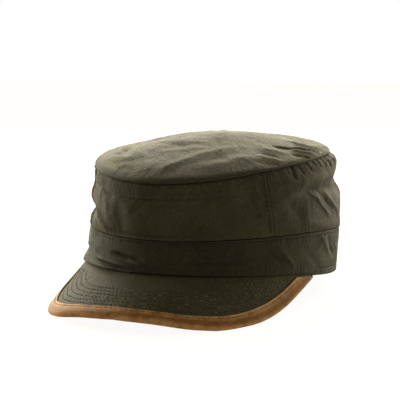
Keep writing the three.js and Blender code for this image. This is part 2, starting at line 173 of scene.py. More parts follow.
# Gathers that the photograph shows under the top seam, written as creases. Chance draws the rest.
SIDE_GATHERS = [
    (64.5, 0.99, 64.8, 0.90, 1.1, -0.4),
    (68.4, 1.00, 67.6, 0.80, 1.5, -1.1),
    (71.9, 1.00, 74.2, 0.83, 1.3, -1.0),
    (77.2, 1.00, 80.0, 0.86, 1.6, -1.2),
    (82.5, 1.00, 83.0, 0.92, 1.1, -0.5),
    (86.6, 1.00, 88.0, 0.88, 1.5, -1.1),
    (92.0, 1.00, 93.0, 0.86, 1.2, -0.7),
    (96.5, 1.00, 98.5, 0.85, 1.4, -1.1),
    (101.0, 1.00, 102.0, 0.90, 1.2, -0.6),
    (104.5, 1.00, 107.0, 0.84, 1.4, -1.1),
    (109.0, 1.00, 111.0, 0.86, 1.3, -0.9),
]
SIDE_GATHERS_END = 112.0
BAND_CREASES = [
    (-32, 0.31, -8, 0.15, 1.4, 2.0),
    (-30, 0.20, -8, 0.05, 1.3, -2.2),
    (-42, 0.10, -16, 0.0, 2.2, 1.3),
    (-20, 0.52, -3, 0.37, 2.4, -2.6),
    (-10, 0.38, -2, 0.23, 1.6, 1.2),
    (-46, 0.70, -30, 0.56, 3.0, 0.6),
    (6, 0.20, 42, 0.24, 1.4, 0.6),
    (12, 0.34, 40, 0.36, 1.7, -0.6),
    (18, 0.56, 34, 0.50, 2.6, -0.5),
    (55, 0.80, 66, 0.16, 2.0, 0.7),
    (50, 0.70, 60, 0.24, 2.2, -0.6),
    (70, 0.60, 82, 0.16, 2.6, -0.4),
    (80, 0.95, 94, 0.30, 2.6, 0.8),
    (88, 0.90, 100, 0.20, 2.0, -0.7),
    (98, 0.80, 106, 0.14, 2.0, 0.6),
]

# Dents of the top panel as on the solids: place across and ahead, half width and half length, in shares of
# the panel's half sizes, then the turn in degrees and the depth in shares of FOLD_DEPTH
TOP_DENTS = [
    (-0.45, 0.20, 0.22, 0.50, 55, -0.6),
    (0.05, 0.25, 0.20, 0.70, 60, 0.5),
    (-0.72, -0.30, 0.22, 0.34, 20, -0.9),
    (0.55, -0.50, 0.20, 0.35, -40, -1.3),
    (0.00, -0.45, 0.55, 0.30, 0, -0.4),
]

# Narrow creases of the top panel: two ends, each in millimetres to the wearer's left and ahead of the
# panel's middle, then width and depth
TOP_CREASES = [
    (0, 98, 16, 72, 3.6, 0.7),
    (12, 76, 32, 44, 4.6, 0.7),
    (10, 96, 24, 76, 4.0, -0.4),
    (20, 82, 40, 56, 5.0, -0.5),
    (30, 82, 50, 52, 5.0, 0.7),
    (-26, 46, 3, 55, 4.0, -1.1),
    (-10, 66, 18, 52, 4.5, 0.4),
    (-51, 40, -36, 62, 3.4, -2.0),
    (-49, 56, -32, 71, 2.8, -1.7),
    (-44, 66, -26, 80, 4.0, 0.7),
    (-38, 60, -14, 78, 4.0, 0.8),
    (-30, 88, -12, 96, 4.0, -0.6),
    (-28, 20, 10, 30, 6.0, -0.7),
    (-50, 10, -34, 24, 3.0, -0.9),
    (50, -4, 75, -22, 2.4, 1.1),
    (52, 22, 70, 5, 2.3, -3.3),
    (66, 25, 77, 14, 1.8, -2.3),
    (62, 18, 76, 4, 1.5, 1.7),
    (49, 44, 62, 41, 2.2, -0.8),
    (46, 36, 64, 28, 3.4, 0.6),
    (52, 60, 70, 48, 2.4, -0.7),
    (50, 51, 66, 44, 2.4, 0.5),
    (58, 64, 70, 40, 1.6, -0.5),
    (60, 6, 76, -6, 2.0, 1.2),
    (56, 2, 74, -13, 2.0, -1.2),
    (54, -30, 72, -38, 3.0, -1.0),
    (-30, -60, 20, -76, 6.0, -0.9),
    (-56, -30, -30, -66, 5.0, 1.0),
]

# Chance wrinkles: how many, the seed of their draw, width and depth in millimetres and lean in radians.
# On the walls they start between two heights, which come first.
CROWN_WRINKLES = [(3, 42, 180, 11, 2.4, 0.42, 1.1), (2, 42, 220, 12, 1.3, 0.2, 1.3)]
BAND_WRINKLES = [(2, 26, 110, 7, 2.2, 0.42, 0.3)]
TOP_WRINKLES = [(170, 5, 3.2, 0.38, 0.5), (320, 6, 1.6, 0.17, 0.3)]
TOP_AREA = (-74, 74, -102, 102)
PEAK_WRINKLES = (60, 3, 3.0, 0.16, 0.2)
PEAK_AREA = (-150, 150, 0, 48)

# Reach and droop of the peak by share of the angle to its end
PEAK_SECTIONS = {
    "share": [0, 0.21, 0.43, 0.59, 0.77, 0.91, 1],
    "reach": [1, 1.01, 1.03, 0.97, 0.68, 0.28, 0.06],
    "droop": [27.5, 29, 32.5, 35.5, 40, 44, 46],
}

# Rows of stitches on the peak, from its edge inward
PEAK_ROWS = [10.4, 14.0, 17.6, 21.2, 24.8, 28.4]

# Stitches
ROW_START = 3.0  # from the band to the rows' ends
STITCH_PITCH = 3.1
STITCH_LENGTH = 2.3
THREAD = 0.22  # half the thickness of the thread
STITCH_LIFT = 0.1
GROOVE_DEPTH = 0.3  # how far a row of stitches pulls the cloth in
GROOVE_WIDE = 0.9
SEAM_ROW = 2.6  # from a seam to the row of stitches beside it
CROWN_WALL = 42.0  # height of the crown's side and of the band, along the cloth
BAND_WALL = 30.0
POCKET_RISE = 0.72  # of the stitched line across the front panel, which turns up at its end
POCKET_START = -30.0
POCKET_END = 36.0

# Camera, as the photograph shows the cap
VIEW_TURN = 23.7 * DEGREE
VIEW_RISE = 7.2
VIEW_DISTANCE = 0.9
VIEW_LENS = 115.0
VIEW_ASIDE = -0.0094
VIEW_HEIGHT = 0.0618

# Colours
CLOTH_GRIT = (0.008, 0.007, 0.003)
WEAVE_SHADE = (0.01, 0.01, 0.006)
# painted shade for a panel's front and edge
PAINTED_EDGE_SHADE = (0.036, 0.031, 0.014)
SHEEN_TINT = (0.85, 0.72, 0.36, 1)
LEATHER_DARK = (0.145, 0.062, 0.016)
LEATHER_LIGHT = (0.37, 0.187, 0.050)
LEATHER_RED = (0.22, 0.072, 0.013)
LEATHER_WORN = (0.52, 0.32, 0.13)
LEATHER_OILED = (0.11, 0.036, 0.008)
LEATHER_PALE_SPECK = (0.50, 0.27, 0.07)
LEATHER_DARK_SPECK = (0.07, 0.022, 0.005)


def smooth(start, end, value):
    share = np.clip((value - start) / (end - start), 0, 1)
    return share * share * (3 - 2 * share)


def unit(ways):
    return ways / np.linalg.norm(ways, axis=-1, keepdims=True)


def dot(ways, others):
    return (ways * others).sum(-1)


def rounded(share):
    """Share of the full thickness at places in from a rounded edge."""
    return np.sqrt(np.maximum(0, 1 - (1 - share)**2))


def travel_along(points):
    """Length along a line, from its first point to each."""
    return np.concatenate([[0], np.cumsum(np.linalg.norm(np.diff(points, axis=0), axis=1))])


def curve(table, key, column, place):
    """Value of a table's column at places along its key, on a smooth curve through its numbers."""
    keys = np.array(table[key], float)
    values = np.array(table[column], float)
    slopes = np.gradient(values, keys)
    i = np.clip(np.searchsorted(keys, place, side="right") - 1, 0, len(keys) - 2)
    step = keys[i + 1] - keys[i]
    t = np.clip((place - keys[i]) / step, 0, 1)
    from_part = (2 * t**3 - 3 * t**2 + 1) * values[i] + (t**3 - 2 * t**2 + t) * slopes[i] * step
    return from_part + (3 * t**2 - 2 * t**3) * values[i + 1] + (t**3 - t**2) * slopes[i + 1] * step


def height_round(heights, angle):
    ahead = np.cos(angle)
    across = np.sin(angle)
    middle = (heights["front"] + heights["back"]) / 2
    return (heights["side"] * across**2 + middle * ahead**2
            + (heights["front"] - heights["back"]) / 2 * ahead)


def seam_height(angle):
    return height_round(SEAM_HEIGHTS, angle) + REAR_RISE * np.maximum(0, -np.cos(angle))**3


def from_front(angle):
    return np.abs((angle / DEGREE + 180) % 360 - 180)


def base_height(angle):
    lift = np.exp(-((from_front(angle) - LIFT_MIDDLE) / LIFT_SPREAD)**2)
    return SIDE_LIFT * lift - FRONT_DIP * np.maximum(0, np.cos(angle))**2


def ring_point(ring, angle, height):
    x = ring["width"] / 2 * np.sin(angle)
    y = ring["back"] - ring["length"] / 2 * np.cos(angle)
    return np.stack(np.broadcast_arrays(x, y, height), -1)


def outward(ring, angle):
    return unit(np.stack([ring["length"] * np.sin(angle), -ring["width"] * np.cos(angle), 0 * angle], -1))


def arc_length(angle):
    """Length round the cap from the front to an angle, in millimetres."""
    steps = np.linspace(-math.pi, 2 * math.pi, 2161)
    speed = np.hypot(CUFF["width"] / 2 * np.cos(steps), CUFF["length"] / 2 * np.sin(steps))
    length = np.concatenate([[0], np.cumsum((speed[1:] + speed[:-1]) / 2 * np.diff(steps))])
    return np.interp(angle, steps, length - np.interp(0, steps, length))


def fold_sum(folds, angle, rise):
    """Soft folds of a wall, each one a rounded swell or hollow."""
    total = 0
    for turn, level, spread, tall, lean, depth in folds:
        away = (angle / DEGREE - (turn + lean * (rise - level)) + 180) % 360 - 180
        total += depth * np.exp(-(away / spread)**2 - ((rise - level) / tall)**2)
    return FOLD_DEPTH * total


ROUND = float(arc_length(2 * math.pi))
SEAM_AT = float(arc_length(SEAM))
RIPPLE = ROUND / 84  # length of the ripples beside a seam


def crease(x, y, start_x, start_y, end_x, end_y, wide, depth, wraps=False):
    """A ridge or furrow along a line, fading at both ends, over places in millimetres."""
    along_x = end_x - start_x
    along_y = end_y - start_y
    length = math.hypot(along_x, along_y)
    from_x = x - start_x
    if wraps:
        from_x = (from_x + ROUND / 2) % ROUND - ROUND / 2
    from_y = y - start_y
    along = (from_x * along_x + from_y * along_y) / length**2
    off = (from_x * along_y - from_y * along_x) / length
    ends = smooth(-0.15, 0.3, along) * smooth(-0.15, 0.3, 1 - along)
    return depth * np.exp(-(off / wide)**2) * ends


def wall_creases(creases, along, up, wall):
    """Creases of a wall, measured along its cloth."""
    total = 0
    for start, low, end, high, *form in creases:
        left, right = arc_length(np.array([start, end]) * DEGREE).tolist()
        total += crease(along, up, left, low * wall, right, high * wall, *form, wraps=True)
    return total


def crumple(x, y, area, count, seed, wide, depth, lean, wraps=False):
    """Many short chance wrinkles over an area of cloth."""
    left, right, low, high = area
    draw = np.random.default_rng(seed)
    total = 0
    for _ in range(count):
        at = left + draw.random() * (right - left)
        up = low + draw.random() * (high - low)
        turn = lean + draw.normal(0, 0.6)
        length = draw.uniform(9, 26)
        end = (at + length * math.cos(turn), up + length * math.sin(turn))
        form = (wide * draw.uniform(0.6, 1.5), depth * draw.uniform(-1, 1))
        total += crease(x, y, at, up, *end, *form, wraps)
    return total


def wall_wrinkles(wrinkles, along, up):
    """Chance wrinkles all round a wall."""
    total = 0
    for low, high, *draw in wrinkles:
        total += crumple(along, up, (-ROUND / 2, ROUND / 2, low, high), *draw, wraps=True)
    return total


def gather_furrows(along, below, count, seed):
    """Narrow furrows that the gathered cloth makes beside the top seam, no two alike."""
    draw = np.random.default_rng(seed)
    first = float(arc_length(SIDE_GATHERS_END * DEGREE))
    last = ROUND - SEAM_AT - 14
    total = 0
    for k in range(count):
        at = first + (last - first) * (k + draw.uniform(-0.3, 0.3)) / (count - 1)
        drop = draw.uniform(4, 11)
        end = at + draw.uniform(-0.1, 0.5) * drop
        deep = -draw.uniform(0.3, 1.3)
        total += crease(along, -below, at, 3, end, -drop, draw.uniform(1.0, 1.9), deep, True)
    return total


def pucker(along, away, depth, reach):
    """Small ripples that a seam draws into the cloth beside it."""
    ripple = np.sin(2 * math.pi * (along / RIPPLE + 0.7 * np.sin(math.pi * along / (2 * RIPPLE))))
    return depth * ripple * np.exp(-np.abs(away) / reach)


def groove(away):
    return -GROOVE_DEPTH * np.exp(-(away / GROOVE_WIDE)**2)


def band_point(angle, rise):
    shows_hem = smooth(HEM_START - 0.6, HEM_START + SLIT_SLOPE, from_front(angle))
    bottom = base_height(angle) + PEAK_SHADOW + shows_hem * (HEM_HEIGHT + SEAM_GAP - PEAK_SHADOW)
    lower = ring_point(BASE, angle, bottom)
    upper = ring_point(CUFF, angle, height_round(CUFF_HEIGHTS, angle))
    return lower + (upper - lower) * rise[..., None]


def band_outer(angle, rise):
    along = arc_length(angle)
    up = rise * BAND_WALL
    down = (1 - rise) * BAND_WALL
    fade = smooth(0, FOLD_FADE, 1 - rise)
    out = fold_sum(BAND_FOLDS, angle, rise) * fade
    out += wall_creases(BAND_CREASES, along, up, BAND_WALL) * smooth(0, 0.08, 1 - rise)
    out += wall_wrinkles(BAND_WRINKLES, along, up) * fade
    out += pucker(along, down - SEAM_ROW, 0.16, 5)
    out += pucker(along + 3, up, 0.2, 5)
    out += groove(down - SEAM_ROW)
    return band_point(angle, rise) + outward(BASE, angle) * out[..., None]


def gathers(angle, rise):
    """Gathers of the back panel under the top seam: soft pleats with narrow furrows between them."""
    below = (1 - np.clip(rise, 0, 1)) * CROWN_WALL
    share = (angle % (2 * math.pi) - SEAM) / (2 * math.pi - 2 * SEAM)
    swell = -np.cos(2 * math.pi * PLEAT_COUNT * share) * np.exp(-below / PLEAT_DROP)
    along = arc_length(angle)
    ends = smooth(0, PLEAT_FADE, share) * smooth(0, PLEAT_FADE, 1 - share)
    furrows = gather_furrows(along, below, count=46, seed=21)
    furrows += wall_creases(SIDE_GATHERS, along, CROWN_WALL - below, CROWN_WALL)
    away = np.minimum(along % ROUND - SEAM_AT, ROUND - SEAM_AT - along % ROUND)
    valley = -2.1 * np.exp(-(np.maximum(away, 0) / 1.5)**2)
    return (0.2 * PLEAT_DEPTH * swell + furrows) * ends + valley


def crown_outer(angle, rise, extra):
    """Outer face of the crown's side. rise is 0 at the band's upper edge and 1 at the top seam."""
    lower = ring_point(CUFF, angle, height_round(CUFF_HEIGHTS, angle))
    upper = ring_point(TOP, angle, seam_height(angle))
    place = np.clip(rise, 0, 1)
    fullness = {side: curve(CROWN_ROWS, "rise", side, place) for side in ("front", "side", "back")}
    full = CROWN_FULLNESS * height_round(fullness, angle)
    fade = smooth(0, FOLD_FADE, place) * smooth(0, RIM_ROLL, 1 - place)
    along = arc_length(angle)
    up = place * CROWN_WALL
    down = CROWN_WALL - up
    creases = wall_creases(CROWN_CREASES, along, up, CROWN_WALL) + wall_wrinkles(CROWN_WRINKLES, along, up)
    out = full + (fold_sum(CROWN_FOLDS, angle, place) + creases) * fade
    out += pucker(along, down, 0.18, 5)
    out += pucker(along + 2, up, 0.22, 4)
    out += groove(down - SEAM_ROW)
    out += extra * smooth(0, 0.1, place)
    sunk = -BAND_CLOTH - SEAM_GAP - 0.1
    emerge = smooth(-0.02, 0.022, rise)
    tucked = -1.1 * smooth(0.93, 1, rise)
    out = out * emerge + sunk * (1 - emerge) + tucked
    point = lower + (upper - lower) * rise[..., None]
    return point + outward(CUFF, angle) * out[..., None]


def top_height(across, ahead):
    spread = np.minimum(1, np.hypot(across, ahead))
    middle = (SEAM_HEIGHTS["front"] + SEAM_HEIGHTS["back"]) / 2
    slope = (SEAM_HEIGHTS["front"] - SEAM_HEIGHTS["back"]) / 2
    arch = (SEAM_HEIGHTS["side"] - middle) * across**2 + REAR_RISE * np.maximum(0, -ahead)**3
    dents = 0
    for across_at, ahead_at, wide, long, turn, depth in TOP_DENTS:
        x = across - across_at
        y = ahead - ahead_at
        cos = math.cos(turn * DEGREE)
        sin = math.sin(turn * DEGREE)
        dents += depth * np.exp(-((x * cos + y * sin) / wide)**2 - ((y * cos - x * sin) / long)**2)
    fade = smooth(1, RIM_FADE, spread)
    return middle + slope * ahead + arch + TOP_DOME * (1 - spread**2) + FOLD_DEPTH * dents * fade


def stand(points):
    """Places of the cap's own frame, in millimetres, as the cap rests on the floor, in metres."""
    x = points[..., 0] + SHIFT[0]
    y = points[..., 1] * math.cos(TILT) + points[..., 2] * math.sin(TILT) + SHIFT[1]
    z = points[..., 2] * math.cos(TILT) - points[..., 1] * math.sin(TILT) + SIT
    return np.stack([x, y, np.maximum(z, 0)], -1) * MM


def edge_places(half):
    return half * (1 - np.cos(np.linspace(0, math.pi / 2, 5)))


def edge_steps(length, half, step):
    """Places along a length, even in the middle and closer where the sheet's edge is rounded."""
    edge = edge_places(half)
    count = max(2, int(round((length - 2 * half) / step)))
    middle = np.linspace(half, length - half, count + 1)[1:-1]
    return np.concatenate([edge, middle, length - edge[::-1]])


def edge_half(places, length, half):
    """Half the thickness of a sheet with rounded edges at those places."""
    return half * rounded(np.minimum(np.minimum(places, length - places), half) / half)


def flat_grid(columns, rows):
    return np.stack(np.meshgrid(columns, rows), -1)


def grid_normals(points, wraps):
    if wraps:
        around = np.roll(points, -1, axis=1) - np.roll(points, 1, axis=1)
    else:
        around = np.gradient(points, axis=1)
    up = np.gradient(points, axis=0)
    normal = np.cross(around, up)
    size = np.linalg.norm(normal, axis=-1, keepdims=True)
    return normal / np.maximum(size, 1e-9)


def sheet_piece(name, middle, normal, half, uv, wraps, material, nodes):
    """A closed sheet round a middle surface, given as a grid of rows by columns."""
    rows, columns = middle.shape[:2]
    outer = stand(middle + normal * half[..., None])
    inner = stand(middle - normal * half[..., None])
    outer_at = np.arange(rows * columns).reshape(rows, columns)
    inner_at = outer_at + rows * columns
    inner_at = np.where(half < 1e-6, outer_at, inner_at)
    if np.allclose(middle[0], middle[0, 0]):
        outer_at[0] = outer_at[0, 0]
        inner_at[0] = inner_at[0, 0]
    faces = []
    corners = []
    for r in range(rows - 1):
        for c in range(columns if wraps else columns - 1):
            n = (c + 1) % columns
            for grid, order in ((outer_at, ((r, c), (r, n), (r + 1, n), (r + 1, c))),
                                (inner_at, ((r, c), (r + 1, c), (r + 1, n), (r, n)))):
                face = []
                places = []
                for row, column in order:
                    at = int(grid[row, column])
                    if at not in face:
                        face.append(at)
                        places.append((row, c + 1 if column == n else c))
                if len(face) > 2:
                    faces.append(face)
                    corners.extend(places)
    mesh = bpy.data.meshes.new(name)
    mesh.from_pydata(np.concatenate([outer.reshape(-1, 3), inner.reshape(-1, 3)]).tolist(), [], faces)
    layer = mesh.uv_layers.new(name="cloth")
    at = np.array(corners)
    layer.data.foreach_set("uv", (uv[at[:, 0], at[:, 1]] * MM).astype(np.float32).ravel())
    finish_piece(name, mesh, material, nodes)


def finish_piece(name, mesh, material, nodes=()):
    work = bmesh.new()
    work.from_mesh(mesh)
    bmesh.ops.delete(work, geom=[v for v in work.verts if not v.link_faces], context="VERTS")
    bmesh.ops.recalc_face_normals(work, faces=work.faces)
    work.to_mesh(mesh)
    work.free()
    mesh.polygons.foreach_set("use_smooth", [True] * len(mesh.polygons))
    piece = bpy.data.objects.new(name, mesh)
    bpy.context.scene.collection.objects.link(piece)
    mesh.materials.append(material)
    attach(piece, "root")
    if nodes:
        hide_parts(*nodes)


def row_place(row, travel, at):
    return np.array([np.interp(at, travel, row[:, i]) for i in range(3)])


def stitches(name, rows, material, pitch=STITCH_PITCH, length=STITCH_LENGTH, thick=THREAD):
    """One mesh of thread, a short rounded bar for each stitch. A row is its points and their normals."""
    sides = 6
    along = np.array([-0.5, -0.42, -0.2, 0.2, 0.42, 0.5]) * length
    width = np.array([0.25, 0.75, 1.0, 1.0, 0.75, 0.25]) * thick
    lift = np.array([-0.6, 0.1, 0.45, 0.45, 0.1, -0.6]) * thick
    turn = np.arange(sides) * 2 * math.pi / sides
    vertices = []
    faces = []
    for points, normals in rows:
        travel = travel_along(points)
        count = int(travel[-1] / pitch)
        for k in range(count):
            at = (k + 0.5) * travel[-1] / count
            ahead = row_place(points, travel, at + length / 2)
            way = unit(ahead - row_place(points, travel, at - length / 2))
            side = unit(np.cross(row_place(normals, travel, at), way))
            up = np.cross(way, side)
            ring = (row_place(points, travel, at) + along[:, None, None] * way
                    + (width[:, None] * np.cos(turn))[..., None] * side
                    + (lift[:, None] + width[:, None] * np.sin(turn))[..., None] * up)
            first = len(vertices) * len(along) * sides
            vertices.append(ring.reshape(-1, 3))
            for r in range(len(along) - 1):
                for s in range(sides):
                    n = (s + 1) % sides
                    faces.append((first + r * sides + s, first + (r + 1) * sides + s,
                                  first + (r + 1) * sides + n, first + r * sides + n))
            faces.append([first + s for s in range(sides)])
            faces.append([first + (len(along) - 1) * sides + s for s in reversed(range(sides))])
    mesh = bpy.data.meshes.new(name)
    mesh.from_pydata(stand(np.concatenate(vertices)).tolist(), [], faces)
    finish_piece(name, mesh, material)


# Materials

class Nodes:
    """A short way to write the nodes of a material or of the surround, with colours as three numbers."""

    def __init__(self, owner):
        owner.use_nodes = True
        self.owner = owner
        self.tree = owner.node_tree

    def put(self, socket, value):
        if isinstance(value, bpy.types.NodeSocket):
            self.tree.links.new(value, socket)
        elif socket.type == "RGBA" and len(value) == 3:
            socket.default_value = (*value, 1)
        else:
            socket.default_value = value

    def fill(self, node, inputs):
        for key, value in inputs.items():
            self.put(node.inputs[key.replace("_", " ")], value)
        return node

    def add(self, kind, settings=None, **inputs):
        node = self.tree.nodes.new(kind)
        for key, value in (settings or {}).items():
            setattr(node, key, value)
        return self.fill(node, inputs)

    def shade(self, **inputs):
        """Fill the material's shader, which is its last step."""
        self.fill(self.tree.nodes["Principled BSDF"], inputs)
        return self.owner

    def place(self, kind):
        return self.add("ShaderNodeTexCoord").outputs[kind]

    def parts(self, vector):
        return self.add("ShaderNodeSeparateXYZ", Vector=vector).outputs

    def math(self, kind, a, b=0.0):
        node = self.add("ShaderNodeMath", {"operation": kind})
        self.put(node.inputs[0], a)
        self.put(node.inputs[1], b)
        return node.outputs[0]

    def noise(self, where, scale, detail=4.0, roughness=0.6):
        return self.add("ShaderNodeTexNoise", Vector=where, Scale=scale, Detail=detail,
                        Roughness=roughness).outputs["Fac"]

    def ramp(self, value, low, high, start=0.0, end=1.0, kind="LINEAR"):
        return self.add("ShaderNodeMapRange", {"interpolation_type": kind}, Value=value, From_Min=low,
                        From_Max=high, To_Min=start, To_Max=end).outputs["Result"]

    def mix(self, share, first, second):
        node = self.add("ShaderNodeMix", {"data_type": "RGBA"})
        for at, value in ((0, share), (6, first), (7, second)):
            self.put(node.inputs[at], value)
        return node.outputs[2]

    def paint(self, colour, layers):
        """A colour with others laid over it, each by its share."""
        for share, tone in layers:
            colour = self.mix(share, colour, tone)
        return colour

    def bump(self, height, strength, distance, **under):
        return self.add("ShaderNodeBump", Strength=strength, Distance=distance, Height=height,
                        **under).outputs["Normal"]


def times(colour, share):
    return tuple(share * part for part in colour)


def cloth(name, dark, light, speckle=0.45, rub_and_highlight=0.5, sheen=0.03, oval=None):
    """Waxed cotton: a plain weave, rubbed lighter in patches, with dull and waxy places.

    oval is the outline of a panel that gets painted shade towards its front and its edge.
    """
    weave = 0.00062
    n = Nodes(bpy.data.materials.new(name))
    uv = n.place("UV")
    place = n.place("Object")
    parts = n.parts(uv)
    warp = n.math("SINE", n.math("MULTIPLY", parts["X"], 2 * math.pi / weave))
    weft = n.math("SINE", n.math("MULTIPLY", parts["Y"], 2 * math.pi / weave))
    threads = n.math("MULTIPLY", warp, weft)
    slub = n.noise(uv, 1100.0, 3.0, 0.7)
    patches = n.noise(place, 28.0, 5.0, 0.65)
    specks = n.noise(place, 560.0, 4.0, 0.75)
    bend = n.add("ShaderNodeNewGeometry").outputs["Pointiness"]
    layers = [
        (n.ramp(patches, 0.35, 0.72), light),
        (n.ramp(specks, 0.48, 0.68, 0.0, speckle), light),
        (n.ramp(specks, 0.50, 0.34, 0.0, 0.7 * speckle), CLOTH_GRIT),
        (n.ramp(threads, -1, 1, 0.16, 0.0), WEAVE_SHADE),
        # Lighter on ridges and edges, partly rubbed wear and partly painted highlight; painted shade in
        # hollows and creases.
        (n.ramp(bend, 0.505, 0.57, 0.0, rub_and_highlight), times(light, 1.5)),
        (n.ramp(bend, 0.495, 0.44, 0.0, 0.7), times(dark, 0.5)),
    ]
    if oval:
        across = n.math("DIVIDE", parts["X"], oval["width"] / 2 * MM)
        behind = n.math("SUBTRACT", parts["Y"], oval["back"] * MM)
        behind = n.math("DIVIDE", behind, oval["length"] / 2 * MM)
        squares = n.math("ADD", n.math("MULTIPLY", across, across), n.math("MULTIPLY", behind, behind))
        # Painted shade: darker towards the panel's front and at its edge.
        layers.append((n.ramp(behind, -0.72, -0.98, 0.0, 0.42), PAINTED_EDGE_SHADE))
        layers.append((n.ramp(n.math("SQRT", squares), 0.95, 0.99, 0.0, 0.9), PAINTED_EDGE_SHADE))
    height = n.math("ADD", n.math("MULTIPLY", threads, 0.5), n.math("MULTIPLY", slub, 0.9))
    fine = n.bump(height, 0.6, 0.00022)
    grain = n.bump(specks, 0.8, 0.0007, Normal=fine)
    wrinkles = n.noise(place, 130.0, 6.0, 0.66)
    return n.shade(Base_Color=n.paint(dark, layers), Roughness=n.ramp(patches, 0.3, 0.75, 0.69, 0.85),
                   Normal=n.bump(wrinkles, 0.5, 0.0014, Normal=grain), Sheen_Weight=sheen,
                   Sheen_Roughness=0.45, Sheen_Tint=SHEEN_TINT, Specular_IOR_Level=0.05)


def leather(name):
    """Oiled brown leather, rubbed pale along its edges and mottled dark between."""
    n = Nodes(bpy.data.materials.new(name))
    place = n.place("Object")
    across = n.parts(n.place("UV"))["Y"]
    mottle = n.noise(place, 90.0, 6.0, 0.7)
    clouds = n.noise(place, 22.0, 3.0, 0.6)
    grain = n.add("ShaderNodeTexVoronoi", Vector=place, Scale=1500.0)
    specks = n.noise(place, 620.0, 4.0, 0.75)
    inner_edge = n.ramp(across, 0.0012, 0.0042, 0.75, 0.0)
    ridge = n.ramp(n.math("ABSOLUTE", n.math("SUBTRACT", across, 0.0082)), 0.0, 0.0020, 0.4, 0.0)
    worn = n.math("MULTIPLY", n.math("MAXIMUM", inner_edge, ridge), n.ramp(mottle, 0.35, 0.6, 0.1, 1.0))
    middle = n.ramp(n.math("ABSOLUTE", n.math("SUBTRACT", across, 0.0056)), 0.0004, 0.0022, 0.5, 0.0)
    colour = n.paint(LEATHER_DARK, [
        (n.ramp(mottle, 0.35, 0.7), LEATHER_LIGHT),
        (n.ramp(clouds, 0.4, 0.7, 0.0, 0.5), LEATHER_RED),
        (worn, LEATHER_WORN),
        (middle, LEATHER_OILED),
        (n.ramp(specks, 0.52, 0.72, 0.0, 0.4), LEATHER_PALE_SPECK),
        (n.ramp(specks, 0.48, 0.30, 0.0, 0.4), LEATHER_DARK_SPECK),
    ])
    fine = n.bump(grain.outputs["Distance"], 0.25, 0.00015)
    return n.shade(Base_Color=colour, Roughness=n.ramp(mottle, 0.3, 0.75, 0.66, 0.8),
                   Normal=n.bump(mottle, 0.3, 0.0006, Normal=fine), Specular_IOR_Level=0.05)


def thread(name, colour, pale=1.0, glint_span=(-1.0, -0.5)):
    """Twisted thread. pale says how much lighter chance stitches are, past the span of places across given
    after it: painted glints, heavier towards that side.
    """
    n = Nodes(bpy.data.materials.new(name))
    place = n.place("Object")
    twist = n.add("ShaderNodeTexWave", Vector=place, Scale=900.0, Distortion=2.0).outputs["Fac"]
    light = times(colour, pale)
    base = n.mix(twist, times(colour, 0.6), colour)
    side = n.parts(place)["X"]
    # Painted highlight: stitches lighter towards one side, and chance stitches painted as glints.
    base = n.mix(n.ramp(side, *glint_span, 0.0, 0.1), base, light)
    chance = n.math("MULTIPLY", n.ramp(n.noise(place, 360.0, 2.0), 0.51, 0.62), n.ramp(side, *glint_span))
    return n.shade(Base_Color=n.mix(chance, base, light), Roughness=0.7, Specular_IOR_Level=0.1,
                   Normal=n.bump(twist, 0.3, 0.0001))


# One waxed cotton in four tones. The top's is painted about twice as light as the side's and the peak's a
# third lighter, partly rubbed wear and partly painted light for how much light these upward faces catch;
# the band's is a little darker.
crown_cotton = cloth("crown_cotton", (0.030, 0.0262, 0.0118), (0.058, 0.0517, 0.0250))
top_cotton = cloth("top_cotton", (0.068, 0.060, 0.030), (0.150, 0.134, 0.074), 0.7, 0.15, 0.05, TOP)
band_cotton = cloth("band_cotton", (0.024, 0.0215, 0.0100), (0.047, 0.042, 0.021))
peak_cotton = cloth("peak_cotton", (0.040, 0.0358, 0.0160), (0.078, 0.070, 0.036), sheen=0.02)
edge_leather = leather("edge_leather")
olive_thread = thread("olive_thread", (0.040, 0.036, 0.018), 3.0)
dark_thread = thread("dark_thread", (0.020, 0.018, 0.010), 1.5)
peak_thread = thread("peak_thread", (0.014, 0.012, 0.006), 16.0, (-0.05, 0.01))
brown_thread = thread("brown_thread", (0.20, 0.105, 0.035), 1.8)


# Crown

def wall_panel(name, face, start, end, tall, thick, steps, material, nodes):
    """A panel of a wall between two angles. face gives its outer side at angles and heights."""
    half = thick / 2
    length = float(arc_length(end) - arc_length(start))
    columns = edge_steps(length, half, steps[0])
    table = np.linspace(start, end, 721)
    angles = np.interp(columns, arc_length(table) - arc_length(start), table)
    rows = edge_steps(tall, half, steps[1])
    angle, up = np.meshgrid(angles, rows)
    outer = face(angle, up)
    normal = grid_normals(outer, False)
    thickness = np.minimum(edge_half(rows, tall, half)[:, None], edge_half(columns, length, half))
    uv = flat_grid(columns, rows)
    sheet_piece(name, outer - normal * half, normal, thickness, uv, False, material, nodes)


def lap(angle, rise):
    """Relief of the front panel: its doubled edge at each side seam and its rows of stitches."""
    away = SEAM_AT - arc_length(np.abs(angle))
    raised = smooth(LAP_WIDTH * 1.3, LAP_WIDTH * 0.9, away) + 0.9 * smooth(2.0, 0.8, away)
    rows = groove(away - SEAM_ROW) * 1.8 + groove(away - LAP_WIDTH - 1) * 0.7
    turn = angle / DEGREE
    inside = smooth(POCKET_START - 1, POCKET_START + 1, turn) * smooth(POCKET_END + 1, POCKET_END - 1, turn)
    pocket = groove((rise - POCKET_RISE) * CROWN_WALL) * inside
    pocket += groove((turn - POCKET_END) * 1.65) * smooth(POCKET_RISE - 0.02, POCKET_RISE, rise)
    return LAP_RISE * raised + rows + 0.8 * pocket


def front_face(angle, rise):
    return crown_outer(angle, rise, lap(angle, rise))


def back_face(angle, rise):
    return crown_outer(angle, rise, gathers(angle, rise))


